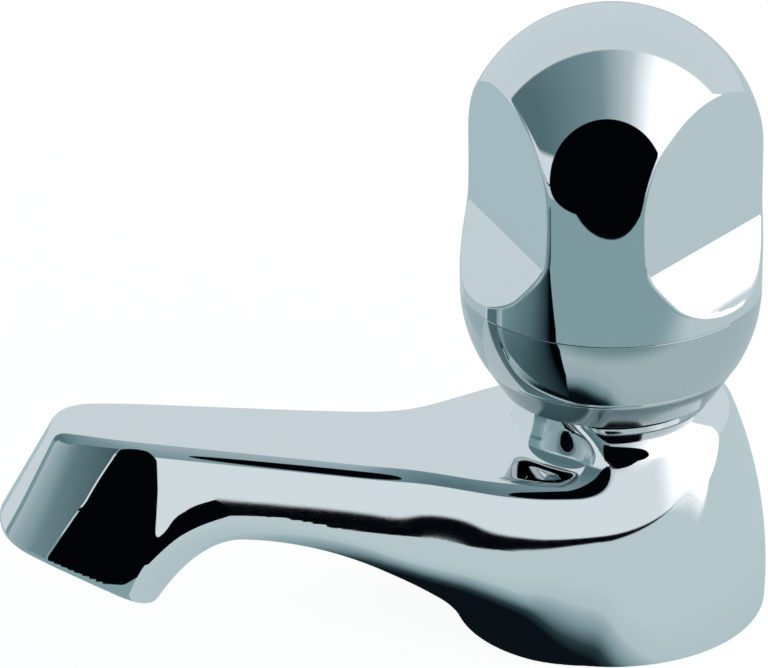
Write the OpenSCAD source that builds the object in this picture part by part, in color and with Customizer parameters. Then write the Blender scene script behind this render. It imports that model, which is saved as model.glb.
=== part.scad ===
// Deck-mounted basin pillar tap with a capsule-shaped, three-facet knob.
// Origin: centre of the base, on the deck plane, on the tap's own axis.
// +Z is up, the spout points along -Y, and all lengths are in millimetres.

/* [Body] */
// Radius of the bell where it stands on the deck
base_r = 24.5; // [22:0.5:28]
// Largest radius of the bell, a little above the deck
bell_r = 25.2; // [24:0.2:30]
// Height of the bell's widest ring
bell_belly_z = 5; // [3:0.5:8]
// Radius of the bell's long side arc, seen from the side
bell_side_r = 78; // [60:1:110]
// Height at which the side rolls over into the shoulder
shoulder_z = 30; // [26:0.5:36]
// Height of the shoulder where it meets the neck
collar_z = 36.5; // [32:0.5:42]
// Outer radius of the neck that stands up into the knob
neck_r = 14.5; // [13.5:0.1:16]
// Height of the neck's top face
neck_top_z = 40; // [38:0.5:48]
// Depth of the cored pocket in the underside
core_depth = 9; // [4:0.5:10]

/* [Spout] */
// Height of the spout's flat top next to the bell
spout_top_z = 26.9; // [24:0.1:30]
// Rise of the flat top for each millimetre of reach
spout_rise = 0.083; // [0:0.005:0.12]
// Half width of the flat top at its waist
spout_half_w = 10.8; // [9:0.1:14]
// Loss of half width for each millimetre of reach
spout_taper = 0.068; // [0.03:0.002:0.08]
// Extra half width where the spout flares into the bell
spout_flare = 7.5; // [3:0.1:9]
// Rise of the flat top towards the neck for each millimetre
neck_rise = 0.18; // [0.05:0.01:0.25]
// Bulge of the spout's sides past the flat top
side_bulge = 1.1; // [0.4:0.1:2]
// Inset of the spout's underside from the flat top's edge
under_inset = 1.6; // [0.5:0.1:3]
// Height of the top of the arch under the spout
arch_z = 13; // [11:0.2:14]
// Reach of the top of the arch from the tap's axis
arch_l = 58.5; // [50:0.5:62]
// Curvature of the arch towards the bell
arch_curve = 0.0104; // [0.009:0.0005:0.016]
// Curvature of the arch towards the nose
heel_curve = 0.052; // [0.03:0.001:0.07]

/* [Nose] */
// Reach of the nose's lowest front edge
tip_l = 97; // [90:0.2:110]
// Height of the nose's lowest front edge
tip_z = 14.7; // [14:0.2:18]
// Lean of the front face, in degrees from upright
front_lean = 30; // [15:1:40]
// Tilt of the outlet plane, in degrees from level
outlet_tilt = 26; // [10:1:30]
// Rounding of the nose's top front edge
nose_top_round = 5.5; // [1:0.5:6]
// Rounding of the nose's lowest front edge
nose_tip_round = 1.6; // [0.5:0.1:2]
// Rounding of the nose's two upright front edges
nose_side_round = 3; // [1:0.5:4]
// Reach of the outlet's centre from the tap's axis
outlet_l = 84.1; // [80:0.2:96]
// Radius of the outlet's bore
outlet_r = 7; // [6:0.1:7.2]

/* [Waterways] */
// Radius of the way along the spout
way_r = 4.5; // [3.5:0.1:5]
// Height of that way on the tap's axis
way_z = 18.2; // [17:0.2:20]
// Rise of that way for each millimetre of reach
way_rise = 0.048; // [0.02:0.002:0.08]
// Radius of the valve chamber
chamber_r = 10; // [9.6:0.1:10.2]
// Height of the face that the washer shuts on
seat_z = 14; // [13:0.2:15]
// Radius of the seat's opening
seat_bore_r = 6; // [5:0.1:6.6]

/* [Knob] */
// Radius of the knob's barrel and of its round ends
knob_r = 23.6; // [21:0.1:26]
// Height of the seam between the knob's two shells
seam_z = 55; // [53:0.5:60]
// Height of the middle of the domed end
dome_z = 76.8; // [74:0.2:90]
// Distance of a finger facet from the axis at its deepest
facet_u = 17.6; // [16.5:0.1:20]
// Radius of the facet's upright hollow
facet_hollow_r = 100; // [60:5:200]
// Height of the facet's deepest line
facet_z = 74; // [70:0.5:82]
// Height at which the facet turns into its scoop
scoop_top_z = 66.5; // [63:0.5:70]
// Height at which the scoop runs out at the barrel
scoop_end_z = 57; // [56:0.1:60]
// Polar angle of the first facet's middle, from +X
facet_turn = 52.5; // [0:0.5:119]
// Wall of the knob's shells
knob_wall = 2.2; // [1.6:0.1:2.6]
// Height of the crisp lower edge of the knob
knob_edge_z = 43.2; // [42:0.2:46]
// Height of the knob's lowest ring
knob_low_z = 38.2; // [37:0.2:39.4]
// Outer radius of the knob's lowest ring
knob_low_r = 17.2; // [17:0.1:19]
// Radius of the hollow that passes over the neck
recess_r = 16.2; // [15.6:0.1:17]

/* [Headwork] */
// Thread major radius of the headwork in the neck
headwork_r = 10.48; // [10:0.01:11.5]
// Distance across the headwork's hexagon
headwork_af = 24; // [22:0.5:24]
// Height of the hexagon above its flange
hex_h = 6; // [4:0.5:7]
// Radius of the headwork's upper barrel
barrel_r = 8.2; // [7.5:0.1:9]
// Radius of the spindle's stem
stem_r = 4.95; // [4.5:0.05:5.5]
// Radius of the spindle's lifting screw
screw_r = 4.4; // [4:0.1:4.6]
// Lift of the washer from shut to fully open
lift = 3.75; // [2:0.05:4]
// Distance across the jumper's sliding hexagon
jumper_af = 13; // [12.4:0.1:13.4]
// Radius of the rubber tap washer
washer_r = 8.2; // [7.8:0.1:8.6]
// Thickness of the rubber tap washer
washer_t = 3.2; // [2.4:0.1:4]
// Number of teeth on the spindle's spline
spline_teeth = 16; // [12:1:24]
// Outer radius of the spindle's spline
spline_r = 4; // [3.8:0.1:4.4]

/* [Inlet] */
// Thread major radius of the half-inch tail
tail_r = 10.4775; // [10.4:0.0005:10.6]
// Length of the tail below the deck plane
tail_len = 46; // [40:1:60]
// Radius of the water way through the tail
tail_bore_r = 6.75; // [6:0.05:7.5]
// Thickness of the deck that the drawn backnut leaves room for
deck_t = 12; // [6:1:18]
// Distance across the backnut's hexagon
backnut_af = 32; // [30:1:36]
// Height of the backnut
backnut_h = 8; // [6:0.5:10]

/* [Clearances] */
// Radial gap of a turning or sliding fit
run_fit = 0.05; // [0.02:0.01:0.08]
// Radial gap of parts that are screwed or pushed together
screw_fit = 0.05; // [0.02:0.01:0.1]
// Gap left between pieces that only face each other
face_gap = 0.3; // [0.2:0.05:0.4]

/* [Hidden] */
$fn = 64;
eps = 0.01;

// Colours, as the metal, rubber and plastic look
chrome_c = [0.80, 0.84, 0.86];
brass_c = [0.78, 0.62, 0.32];
rubber_c = [0.09, 0.09, 0.10];
plastic_c = [0.88, 0.87, 0.83];
steel_c = [0.62, 0.64, 0.66];
fibre_c = [0.55, 0.22, 0.16];

// Heights along the tap's axis
tail_seat_z = 6.5;
tail_seal_t = 1.5;
inlet_top_z = tail_seat_z + tail_seal_t;
seat_pocket_z = inlet_top_z + 1;
seat_flange_t = 3;
seat_lip_z = seat_pocket_z + seat_flange_t;
skirt_low_z = seat_z + washer_t + 9.8;
chamber_top_z = skirt_low_z - 1;
headwork_seal_t = 0.8;
flange_z = neck_top_z + headwork_seal_t;
flange_t = 1.6;
hex_z = flange_z + flange_t;
hex_top_z = hex_z + hex_h;
barrel_top_z = hex_top_z + 7.6;
collar_low_z = flange_z + 0.4;
collar_t = 2.8;
collar_top_z = collar_low_z + collar_t;
stem_shoulder_z = collar_top_z + 0.15;
spline_z = barrel_top_z + 2;
spline_len = 9;
spindle_top_z = spline_z + spline_len;

// Spindle details
o_ring_r = 0.72;
o_ring_mid_r = stem_r - o_ring_r + 0.01;
groove_r = o_ring_mid_r - o_ring_r - 0.02;
groove_w = 2;
o_ring_low_z = stem_shoulder_z + 2.6;
o_ring_high_z = o_ring_low_z + 4.2;
collar_r = 6.3;
circlip_t = 0.9;
circlip_r = 6.4;
circlip_in_r = 4.3;
circlip_z = barrel_top_z + 0.2;
spline_depth = 0.45;
fixing_r = 2;

// Jumper details
plate_r = washer_r + 0.6;
plate_z = seat_z + washer_t;
plate_t = 3.3;
jumper_top_z = collar_low_z - lift - 0.4;
jumper_bore_z = plate_z + plate_t + 1;
spindle_tip_z = jumper_bore_z + lift + 0.75;
stud_r = 2;
nut_h = 2.8;
nut_af = 7;
stud_low_z = seat_z - nut_h - 0.6;

// Seat details
seat_r = chamber_r - 0.75;
lip_r = seat_bore_r + 1.4;

// Knob details
hub_z = spline_z + 0.4;
hub_floor_t = 2;
hub_top_z = spindle_top_z + 2;
hub_boss_r = 6.8;
drum_r = facet_u - knob_wall - 0.6;
drum_wall = 1.8;
drum_top_z = hub_top_z + 1;
ring_z = drum_top_z - 2;
ring_wire_r = 0.55;
hub_rim_r = knob_r - knob_wall - 1.6;
hub_rim_t = 1.6;
hub_skirt_r = barrel_r + 2.3;
ledge_t = 2.4;
ledge_r = hub_skirt_r + 2.5;
skirt_screw_ring_r = (ledge_r + hub_rim_r) / 2 + 0.6;
skirt_screw_r = 1.25;
skirt_screw_head_r = 2.1;
skirt_screw_head_t = 1.3;
knob_edge_r = sqrt(knob_r * knob_r - pow(seam_z - knob_edge_z, 2));
screw_washer_t = 0.8;
screw_washer_r = 4.4;
screw_head_r = 3.6;
screw_head_t = 2.3;

// Base and inlet details
core_in_r = tail_r + 2.8;
gasket_t = 1.6;
gasket_out_r = base_r - 1.2;
gasket_in_r = gasket_out_r - 4.1;
core_out_r = gasket_in_r - 1.6;
deck_washer_t = 2;
backnut_low_z = -deck_t - deck_washer_t - backnut_h;
break_top_z = backnut_low_z - 0.2;
break_h = 0.8;
break_depth = 0.4;
deck_washer_r = backnut_af / 2 + 2;

// Outlet details: the bore's axis leans with the outlet plane
outlet_z = tip_z - (tip_l - outlet_l) * tan(outlet_tilt);
outlet_bore_d = 9;
outlet_seal_t = 1.5;
insert_recess = 1;
insert_len = outlet_bore_d - outlet_seal_t - insert_recess;
insert_wall = 1.3;
vane_t = 0.8;
way_end_z = way_z + way_rise * outlet_l;
cross_way_d = (way_end_z - outlet_z) / cos(outlet_tilt) + way_r / 2;
way_end_l = outlet_l - (way_end_z - outlet_z) * tan(outlet_tilt) + way_r * 0.6;

// Spout sections: each is one closed ring of points across the spout
section_step = 4.4;
section_start_l = 6;
arm_end_l = tip_l + 2;
section_count = ceil((arm_end_l - section_start_l) / section_step);
top_edge_r = 1.6;
under_edge_r = 3.4;
edge_steps = 4;
side_steps = 6;
flare_end_l = 38;
flare_len = 20;
valley_l = 32;

function spout_l(i) = section_start_l + i * (arm_end_l - section_start_l) / section_count;
function top_z(l) = spout_top_z + spout_rise * max(0, l - valley_l) + neck_rise * max(0, valley_l - l);
function half_w(l) = min(bell_r - 4.5, spout_half_w - spout_taper * (l - flare_end_l)
    + spout_flare * pow(max(0, flare_end_l - l) / flare_len, 1.8));
function under_z(l) = max(bell_belly_z - 4.5, l < arch_l
    ? arch_z - arch_curve * pow(arch_l - l, 2)
    : arch_z - heel_curve * pow(l - arch_l, 2));

// One half of a section, from the flat top round to the underside
function half_ring(l) = let (w = half_w(l), t = top_z(l), u = under_z(l), b = w - under_inset,
                             ur = min(under_edge_r, (t - u) / 3)) concat(
    [for (k = [0:edge_steps]) let (a = 90 - 80 * k / edge_steps)
        [w - top_edge_r + top_edge_r * cos(a), t - top_edge_r + top_edge_r * sin(a)]],
    [for (k = [1:side_steps - 1]) let (s = k / side_steps)
        [w + (b - w) * s * s + 4 * side_bulge * s * (1 - s), t - top_edge_r + (u + ur - t + top_edge_r) * s]],
    [for (k = [0:edge_steps]) let (a = -90 * k / edge_steps)
        [b - ur + ur * cos(a), u + ur + ur * sin(a)]]);
function ring_points(l) = let (h = half_ring(l), n = len(h)) concat(
    [for (p = h) [-p[0], -l, p[1]]],
    [for (k = [n - 1:-1:0]) [h[k][0], -l, h[k][1]]]);

// One closed skin through equal rings of points
module loft(rings) {
    n = len(rings[0]);
    last = len(rings) - 1;
    polyhedron(
        points = [for (r = rings) each r],
        faces = concat(
            [[for (k = [0:n - 1]) k]],
            [for (j = [0:last - 1], k = [0:n - 1]) let (m = (k + 1) % n)
                [j * n + k, (j + 1) * n + k, (j + 1) * n + m]],
            [for (j = [0:last - 1], k = [0:n - 1]) let (m = (k + 1) % n)
                [j * n + k, (j + 1) * n + m, j * n + m]],
            [[for (k = [n - 1:-1:0]) last * n + k]]));
}

// A ring of rectangular cross-section
module ring(r_out, r_in, h) {
    difference() {
        cylinder(r = r_out, h = h);
        translate([0, 0, -1]) cylinder(r = r_in, h = h + 2);
    }
}

// A hexagonal bar, given by its distance across flats
module hexagon(af, h) {
    cylinder(r = af / 2 / cos(30), h = h, $fn = 6);
}

// A rubber ring of round section
module o_ring(mid_r, wire_r, z) {
    translate([0, 0, z]) rotate_extrude() translate([mid_r, 0]) circle(r = wire_r, $fn = 32);
}

// Puts things on the outlet's leaning axis, with +Z pointing back up into the nose
module at_outlet() {
    translate([0, -outlet_l, outlet_z]) rotate([-outlet_tilt, 0, 0]) children();
}

// Side profile of the bell as a closed half outline
function bell_side(z) = bell_r - bell_side_r + sqrt(pow(bell_side_r, 2) - pow(z - bell_belly_z, 2));
bell_steps = 8;
shoulder_steps = 6;
shoulder_r0 = bell_side(shoulder_z);
function bell_outline() = concat(
    [[0, 0], [base_r, 0], [base_r + 0.5, 0.8], [bell_r, bell_belly_z - 1]],
    [for (k = [0:bell_steps]) let (z = bell_belly_z + (shoulder_z - bell_belly_z) * k / bell_steps)
        [bell_side(z), z]],
    [for (k = [1:shoulder_steps]) let (a = 90 * k / shoulder_steps)
        [neck_r + (shoulder_r0 - neck_r) * cos(a), shoulder_z + (collar_z - shoulder_z) * sin(a)]],
    [[0, collar_z]]);

module bell() {
    rotate_extrude($fn = 96) polygon(bell_outline());
    cylinder(r = neck_r, h = neck_top_z);
}

// Where the flat top meets the leaning front face, as reach and height
nose_run = (tip_l - valley_l) * spout_rise + spout_top_z - tip_z;
nose_corner_z = tip_z + nose_run / (1 + spout_rise * tan(front_lean));
nose_corner_l = tip_l - (nose_corner_z - tip_z) * tan(front_lean);

// Points of a flat-sided arc round a middle point
arc_steps = 5;
function arc(mid, r, from, to) = [for (k = [0:arc_steps]) let (a = from + (to - from) * k / arc_steps)
    mid + r * [cos(a), sin(a)]];

// Takes the sharp corner off an edge across the nose, between two directions
module round_edge(corner, turn_in, turn_out, r) {
    half = (turn_in - turn_out) / 2;
    mid = corner + r / cos(half) * [cos(turn_in - half - 90), sin(turn_in - half - 90)];
    out_in = [-sin(turn_in), cos(turn_in)];
    out_out = [-sin(turn_out), cos(turn_out)];
    rim = arc(mid, r, turn_out + 90, turn_in + 90);
    rotate([90, 0, -90]) translate([0, 0, -20]) linear_extrude(40)
        polygon(concat(rim, [rim[arc_steps] + out_in, corner + out_in + out_out, rim[0] + out_out]));
}

// The spout's arm, cut off by the leaning front face and by the outlet plane
module spout() {
    nose_w = half_w(tip_l) + side_bulge - 0.4;
    cut_w = 2 * bell_r;
    difference() {
        loft([for (i = [0:section_count]) ring_points(spout_l(i))]);
        translate([-cut_w / 2, -tip_l, tip_z]) rotate([-front_lean, 0, 0])
            translate([0, -cut_w, -cut_w]) cube([cut_w, cut_w, 2 * cut_w]);
        translate([-cut_w / 2, -tip_l, tip_z]) rotate([-outlet_tilt, 0, 0])
            translate([0, -cut_w / 2, -cut_w]) cube([cut_w, 1.5 * cut_w, cut_w]);
        round_edge([nose_corner_l, nose_corner_z], atan(spout_rise), front_lean - 90, nose_top_round);
        round_edge([tip_l, tip_z], front_lean - 90, outlet_tilt - 180, nose_tip_round);
        for (side = [0, 1]) mirror([side, 0, 0]) translate([0, -tip_l, tip_z]) rotate([-front_lean, 0, 0])
            translate([nose_w - nose_side_round, nose_side_round, -20]) linear_extrude(60)
                polygon(concat(arc([0, 0], nose_side_round, -90, 0), [[9, 0], [9, -9], [0, -9]]));
    }
}

// Outline of the flat round the neck's front; lean moves it out, and up is its height
flat_back_l = 8;
flat_step = 0.12;
function flat_ring(up, lean) = let (side = concat(
    [for (l = [flare_end_l - 4:-3:flat_back_l]) [half_w(l) + lean + 0.5, -l, up]],
    [[half_w(flat_back_l) + lean + 0.5, -flat_back_l / 2 + lean / 2, up], [neck_r - 1, lean - 2, up]]), n = len(side))
    concat(side, [for (k = [n - 1:-1:0]) [-side[k][0], side[k][1], up]]);

// Cuts the flat into the bell's shoulder, with a leaning wall behind it, and keeps the neck
module shoulder_flat() {
    wall_h = collar_z - spout_top_z + 3;
    difference() {
        translate([0, -valley_l, spout_top_z + flat_step]) rotate([atan(neck_rise), 0, 0]) translate([0, valley_l, 0])
            loft([flat_ring(0, 0), flat_ring(wall_h, wall_h)]);
        cylinder(r = neck_r, h = neck_top_z + 1);
    }
}

module waterways() {
    translate([0, 0, -1]) cylinder(r = tail_r + screw_fit, h = inlet_top_z + 1);
    translate([0, 0, inlet_top_z - eps]) cylinder(r = seat_bore_r + 0.5, h = 1 + 2 * eps);
    translate([0, 0, seat_pocket_z]) cylinder(r = seat_r + screw_fit, h = seat_flange_t + eps);
    translate([0, 0, seat_lip_z]) cylinder(r = chamber_r, h = chamber_top_z - seat_lip_z + eps);
    translate([0, 0, chamber_top_z]) cylinder(r = headwork_r + screw_fit, h = neck_top_z);
    translate([0, 0, way_z]) rotate([90 - atan(way_rise), 0, 0]) cylinder(r = way_r, h = way_end_l);
    at_outlet() translate([0, 0, -1]) cylinder(r = outlet_r, h = outlet_bore_d + 1);
    at_outlet() cylinder(r = way_r, h = cross_way_d);
}

module body() {
    color(chrome_c) difference() {
        union() {
            difference() {
                bell();
                shoulder_flat();
            }
            spout();
        }
        waterways();
        translate([0, 0, -1]) ring(core_out_r, core_in_r, core_depth + 1);
        translate([0, 0, -1]) ring(gasket_out_r + screw_fit, gasket_in_r - screw_fit, gasket_t + 1);
    }
}

module base_gasket() {
    color(rubber_c) ring(gasket_out_r, gasket_in_r, gasket_t);
}

// The tail's thread has a small break between the backnut's stretch and the supply connector's
module inlet_tail() {
    color(brass_c) difference() {
        translate([0, 0, -tail_len]) ring(tail_r, tail_bore_r, tail_len + tail_seat_z);
        translate([0, 0, break_top_z - break_h]) ring(tail_r + 1, tail_r - break_depth, break_h);
    }
}

module tail_seal() {
    color(fibre_c) translate([0, 0, tail_seat_z]) ring(tail_r - 0.2, tail_bore_r + 0.4, tail_seal_t);
}

module deck_washer() {
    color(plastic_c) translate([0, 0, -deck_t - deck_washer_t])
        ring(deck_washer_r, tail_r + face_gap, deck_washer_t);
}

module backnut() {
    color(brass_c) translate([0, 0, backnut_low_z]) difference() {
        hexagon(backnut_af, backnut_h);
        translate([0, 0, -1]) cylinder(r = tail_r + screw_fit, h = backnut_h + 2);
    }
}

module valve_seat() {
    color(steel_c) difference() {
        union() {
            translate([0, 0, seat_pocket_z]) cylinder(r = seat_r, h = seat_flange_t);
            translate([0, 0, seat_pocket_z]) cylinder(r = lip_r, h = seat_z - seat_pocket_z);
        }
        translate([0, 0, seat_pocket_z - 1]) cylinder(r = seat_bore_r, h = seat_z);
    }
}

module headwork_body() {
    color(brass_c) difference() {
        union() {
            translate([0, 0, skirt_low_z]) cylinder(r = headwork_r, h = flange_z - skirt_low_z + eps);
            translate([0, 0, flange_z]) cylinder(r = headwork_af / 2 / cos(30), h = flange_t);
            translate([0, 0, hex_z]) hexagon(headwork_af, hex_h);
            translate([0, 0, hex_z]) cylinder(r = barrel_r, h = barrel_top_z - hex_z);
        }
        translate([0, 0, skirt_low_z - 1]) hexagon(jumper_af + 0.2, collar_low_z - skirt_low_z + 1);
        translate([0, 0, collar_low_z - eps])
            cylinder(r = collar_r + face_gap, h = stem_shoulder_z - collar_low_z + eps);
        translate([0, 0, collar_low_z]) cylinder(r = stem_r + run_fit, h = barrel_top_z);
    }
}

module headwork_washer() {
    color(fibre_c) translate([0, 0, neck_top_z])
        ring(neck_r - 0.3, headwork_r + face_gap, headwork_seal_t);
}

// Outline of the spline; grow widens it for the hub's socket
module spline_outline(grow) {
    polygon([for (k = [0:2 * spline_teeth - 1]) let (a = 180 * k / spline_teeth,
             r = spline_r + grow - (k % 2) * spline_depth) [r * cos(a), r * sin(a)]]);
}

module spindle() {
    color(brass_c) difference() {
        union() {
            translate([0, 0, spindle_tip_z]) cylinder(r = screw_r, h = collar_low_z - spindle_tip_z + eps);
            translate([0, 0, collar_low_z]) cylinder(r = collar_r, h = collar_t);
            translate([0, 0, collar_low_z]) cylinder(r = stem_r, h = spline_z - collar_low_z);
            translate([0, 0, spline_z - eps]) linear_extrude(spline_len + eps) spline_outline(0);
        }
        for (z = [o_ring_low_z, o_ring_high_z])
            translate([0, 0, z - groove_w / 2]) ring(stem_r + 1, groove_r, groove_w);
        translate([0, 0, circlip_z]) ring(stem_r + 1, circlip_in_r, circlip_t + 0.1);
        translate([0, 0, spline_z - 1]) cylinder(r = fixing_r + screw_fit, h = spline_len + 2);
    }
}

module spindle_o_ring_lower() {
    color(rubber_c) o_ring(o_ring_mid_r, o_ring_r, o_ring_low_z);
}

module spindle_o_ring_upper() {
    color(rubber_c) o_ring(o_ring_mid_r, o_ring_r, o_ring_high_z);
}

module spindle_circlip() {
    color(steel_c) translate([0, 0, circlip_z + 0.05]) difference() {
        ring(circlip_r, circlip_in_r + 0.04, circlip_t);
        translate([0, -1.5, -1]) cube([circlip_r + 1, 3, circlip_t + 2]);
    }
}

module jumper() {
    color(brass_c) difference() {
        union() {
            translate([0, 0, stud_low_z]) cylinder(r = stud_r, h = plate_z - stud_low_z + eps);
            translate([0, 0, plate_z]) cylinder(r = plate_r, h = plate_t);
            translate([0, 0, plate_z]) hexagon(jumper_af, jumper_top_z - plate_z);
        }
        translate([0, 0, jumper_bore_z]) cylinder(r = screw_r + 0.1, h = jumper_top_z);
    }
}

module tap_washer() {
    color(rubber_c) translate([0, 0, seat_z]) ring(washer_r, stud_r + screw_fit, washer_t);
}

module washer_nut() {
    color(brass_c) translate([0, 0, seat_z - nut_h]) difference() {
        hexagon(nut_af, nut_h);
        translate([0, 0, -1]) cylinder(r = stud_r + screw_fit, h = nut_h + 2);
    }
}

module handle_hub() {
    color(plastic_c) difference() {
        union() {
            translate([0, 0, seam_z]) cylinder(r = hub_rim_r, h = hub_rim_t);
            translate([0, 0, seam_z]) cylinder(r = drum_r, h = drum_top_z - seam_z);
        }
        translate([0, 0, seam_z - 1]) cylinder(r = hub_skirt_r, h = hub_z - seam_z + 1);
        translate([0, 0, hub_z + hub_floor_t])
            ring(drum_r - drum_wall, hub_boss_r, drum_top_z - hub_z);
        translate([0, 0, hub_top_z]) cylinder(r = hub_boss_r + 1, h = drum_top_z);
        translate([0, 0, hub_z - 1]) linear_extrude(spindle_top_z - hub_z + 1.1) spline_outline(0.08);
        translate([0, 0, spindle_top_z]) cylinder(r = fixing_r + 0.15, h = drum_top_z);
        o_ring(drum_r, ring_wire_r + 0.05, ring_z);
        at_skirt_screws() translate([0, 0, -1]) cylinder(r = skirt_screw_r + 0.1, h = hub_rim_t + 2);
    }
}

// The three skirt screws sit under the knob's lobes, between the facets
module at_skirt_screws() {
    for (k = [0:2]) rotate(facet_turn + 60 + 120 * k) translate([skirt_screw_ring_r, 0, seam_z]) children();
}

module skirt_screws() {
    color(steel_c) at_skirt_screws() {
        translate([0, 0, hub_rim_t]) cylinder(r = skirt_screw_head_r, h = skirt_screw_head_t);
        translate([0, 0, -ledge_t + 0.3]) cylinder(r = skirt_screw_r, h = ledge_t + hub_rim_t);
    }
}

module handle_base() {
    color(chrome_c) difference() {
        intersection() {
            translate([0, 0, seam_z]) sphere(r = knob_r, $fn = 96);
            union() {
                translate([0, 0, knob_edge_z]) cylinder(r = knob_r + 1, h = seam_z - knob_edge_z);
                translate([0, 0, knob_low_z])
                    cylinder(r1 = knob_low_r, r2 = knob_edge_r, h = knob_edge_z - knob_low_z);
            }
        }
        translate([0, 0, knob_low_z - 1]) cylinder(r = recess_r, h = knob_edge_z - knob_low_z + 1 + eps);
        intersection() {
            translate([0, 0, seam_z]) sphere(r = knob_r - knob_wall, $fn = 96);
            translate([0, 0, knob_edge_z]) cylinder(r = knob_r, h = seam_z - ledge_t - knob_edge_z);
        }
        translate([0, 0, seam_z - ledge_t - 1]) cylinder(r = ledge_r, h = ledge_t + 2);
        at_skirt_screws() translate([0, 0, -ledge_t - 1]) cylinder(r = skirt_screw_r + screw_fit, h = ledge_t + 2);
    }
}

// Where the facet's hollow meets the top of its scoop, from the axis
scoop_u = facet_u + facet_hollow_r - sqrt(pow(facet_hollow_r, 2) - pow(facet_z - scoop_top_z, 2));
scoop_bend_u = knob_r - 2.1;
scoop_bend_z = scoop_end_z + 1.9;
scoop_slope = (scoop_top_z - scoop_bend_z) / (scoop_bend_u - scoop_u);
scoop_lead = 1.5;

// What one facet takes away: an upright hollow with a scoop at its foot
module facet_cut(inset) {
    far_u = 3 * knob_r;
    high_z = dome_z + 2 * knob_r;
    rotate([90, 0, 0]) translate([-inset, 0, -knob_r - 2]) linear_extrude(2 * knob_r + 4) intersection() {
        translate([facet_u + facet_hollow_r, facet_z]) circle(r = facet_hollow_r, $fn = 360);
        polygon([[scoop_u - scoop_lead, scoop_top_z + scoop_lead * scoop_slope], [scoop_bend_u, scoop_bend_z],
                 [knob_r, scoop_end_z], [knob_r + 4, scoop_end_z - 3], [far_u, scoop_end_z - 3],
                 [far_u, high_z], [scoop_u - scoop_lead, high_z]]);
    }
}

// The knob's upper form above the seam, shrunk on all sides by inset
module knob_form(inset) {
    difference() {
        union() {
            translate([0, 0, seam_z - (inset > 0 ? 1 : 0)])
                cylinder(r = knob_r - inset, h = dome_z - seam_z + (inset > 0 ? 1 : 0), $fn = 96);
            intersection() {
                translate([0, 0, dome_z]) sphere(r = knob_r - inset, $fn = 96);
                translate([0, 0, dome_z - eps]) cylinder(r = knob_r + 1, h = knob_r + 1);
            }
        }
        for (k = [0:2]) rotate(facet_turn + 120 * k) facet_cut(inset);
    }
}

module handle_shell() {
    color(chrome_c) difference() {
        knob_form(0);
        knob_form(knob_wall);
    }
}

module shell_spring_ring() {
    color(steel_c) o_ring(drum_r, ring_wire_r, ring_z);
}

module handle_screw() {
    color(steel_c) translate([0, 0, hub_top_z + screw_washer_t]) difference() {
        union() {
            cylinder(r = screw_head_r, h = screw_head_t);
            translate([0, 0, -spline_len]) cylinder(r = fixing_r, h = spline_len + 1);
        }
        for (a = [0, 90]) rotate(a) translate([-2.2, -0.45, screw_head_t - 1.3]) cube([4.4, 0.9, 2]);
    }
}

module screw_washer() {
    color(steel_c) translate([0, 0, hub_top_z]) ring(screw_washer_r, fixing_r + 0.15, screw_washer_t);
}

module outlet_insert() {
    color(plastic_c) at_outlet() translate([0, 0, insert_recess]) {
        ring(outlet_r - screw_fit, outlet_r - insert_wall, insert_len);
        for (a = [0, 90]) rotate(a)
            translate([-outlet_r + insert_wall / 2, -vane_t / 2, 1]) cube([2 * outlet_r - insert_wall, vane_t, insert_len - 2]);
    }
}

module outlet_seal() {
    color(rubber_c) at_outlet() translate([0, 0, insert_recess + insert_len])
        ring(outlet_r - screw_fit, way_r + 0.6, outlet_seal_t);
}

body();
base_gasket();
inlet_tail();
tail_seal();
deck_washer();
backnut();
valve_seat();
headwork_body();
headwork_washer();
spindle();
spindle_o_ring_lower();
spindle_o_ring_upper();
spindle_circlip();
jumper();
tap_washer();
washer_nut();
handle_hub();
handle_base();
handle_shell();
shell_spring_ring();
skirt_screws();
handle_screw();
screw_washer();
outlet_insert();
outlet_seal();
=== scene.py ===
import math

import bpy
import numpy as np
from mathutils import Matrix, Vector


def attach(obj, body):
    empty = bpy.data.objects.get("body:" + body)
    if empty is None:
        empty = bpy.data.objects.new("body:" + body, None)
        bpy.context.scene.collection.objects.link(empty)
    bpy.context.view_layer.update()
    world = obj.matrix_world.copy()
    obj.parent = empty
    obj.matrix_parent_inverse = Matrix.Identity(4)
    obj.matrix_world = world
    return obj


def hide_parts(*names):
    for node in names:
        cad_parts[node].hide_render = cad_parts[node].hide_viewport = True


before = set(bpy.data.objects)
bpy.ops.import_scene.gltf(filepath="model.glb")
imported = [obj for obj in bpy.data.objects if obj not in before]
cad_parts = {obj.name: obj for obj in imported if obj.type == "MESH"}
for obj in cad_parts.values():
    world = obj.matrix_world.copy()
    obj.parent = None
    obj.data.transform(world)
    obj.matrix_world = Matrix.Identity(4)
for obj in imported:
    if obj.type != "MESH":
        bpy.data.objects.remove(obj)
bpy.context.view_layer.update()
MM = 0.001
scene = bpy.context.scene


# Camera
# A long lens, a little above the knob, looks at the tap's side with the spout to the left.
PHOTO_W, FOCAL_PX, SENSOR = 768, 4448.54, 36.0
EYE = Vector((632.08, -18.21, 346.93)) * MM
LOOK_DOWN, LOOK_LEFT, LEAN = 0.4438, 0.0275, -0.0165
forward = -Vector((math.cos(LOOK_DOWN) * math.cos(LOOK_LEFT), math.cos(LOOK_DOWN) * math.sin(LOOK_LEFT),
                   math.sin(LOOK_DOWN)))
level = forward.cross(Vector((0, 0, 1))).normalized()
above = level.cross(forward)
right = level * math.cos(LEAN) + above * math.sin(LEAN)
up = above * math.cos(LEAN) - level * math.sin(LEAN)
camera = bpy.data.objects.new("camera", bpy.data.cameras.new("camera"))
scene.collection.objects.link(camera)
camera.data.sensor_width = SENSOR
camera.data.lens = FOCAL_PX * SENSOR / PHOTO_W
camera.data.clip_start, camera.data.clip_end = 0.05, 20
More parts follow.
